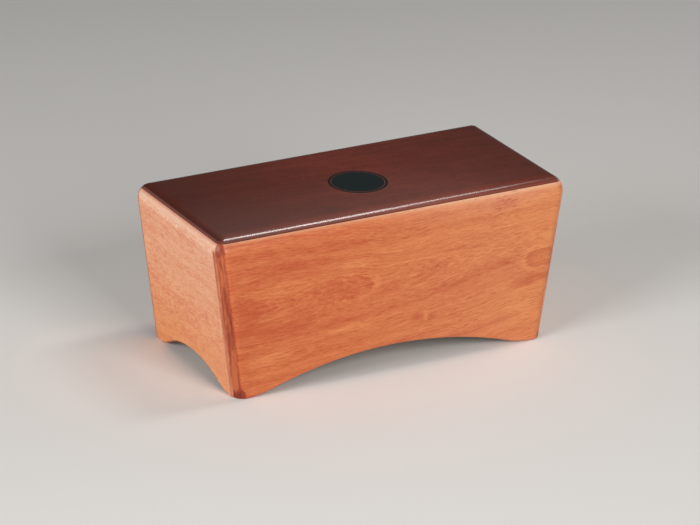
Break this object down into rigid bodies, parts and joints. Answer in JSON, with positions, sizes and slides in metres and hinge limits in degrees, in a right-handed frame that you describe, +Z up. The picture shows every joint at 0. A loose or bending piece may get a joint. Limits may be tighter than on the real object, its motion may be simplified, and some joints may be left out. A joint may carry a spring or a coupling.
{
  "type": "bongo cajon",
  "caption": "Low wooden box drum with two chambers, leaning ends, a dark rounded playing plate, and arches cut in all four lower edges.",
  "frame": {"origin": "on the floor, under the middle of the body", "axes": "+X along the body towards its right end, +Z up to the playing surface, the front board faces -Y"},
  "size_m": [0.4, 0.185, 0.1745],
  "materials": {
    "stained_plate": "dark stain under satin lacquer",
    "side_board": "satin lacquer",
    "end_board": "satin lacquer",
    "inner_wood": "raw, unfinished"
  },
  "bodies": {
    "root": {"playing_surface": "stained_plate", "front_panel": "side_board", "back_panel": "side_board", "left_end_panel": "end_board", "right_end_panel": "end_board", "centre_divider": "inner_wood", "corner_block_front_left": "inner_wood", "corner_block_front_right": "inner_wood", "corner_block_back_left": "inner_wood", "corner_block_back_right": "inner_wood", "front_lining_left": "inner_wood", "front_lining_right": "inner_wood", "back_lining_left": "inner_wood", "back_lining_right": "inner_wood", "end_lining_left": "inner_wood", "end_lining_right": "inner_wood"}
  },
  "joints": []
}
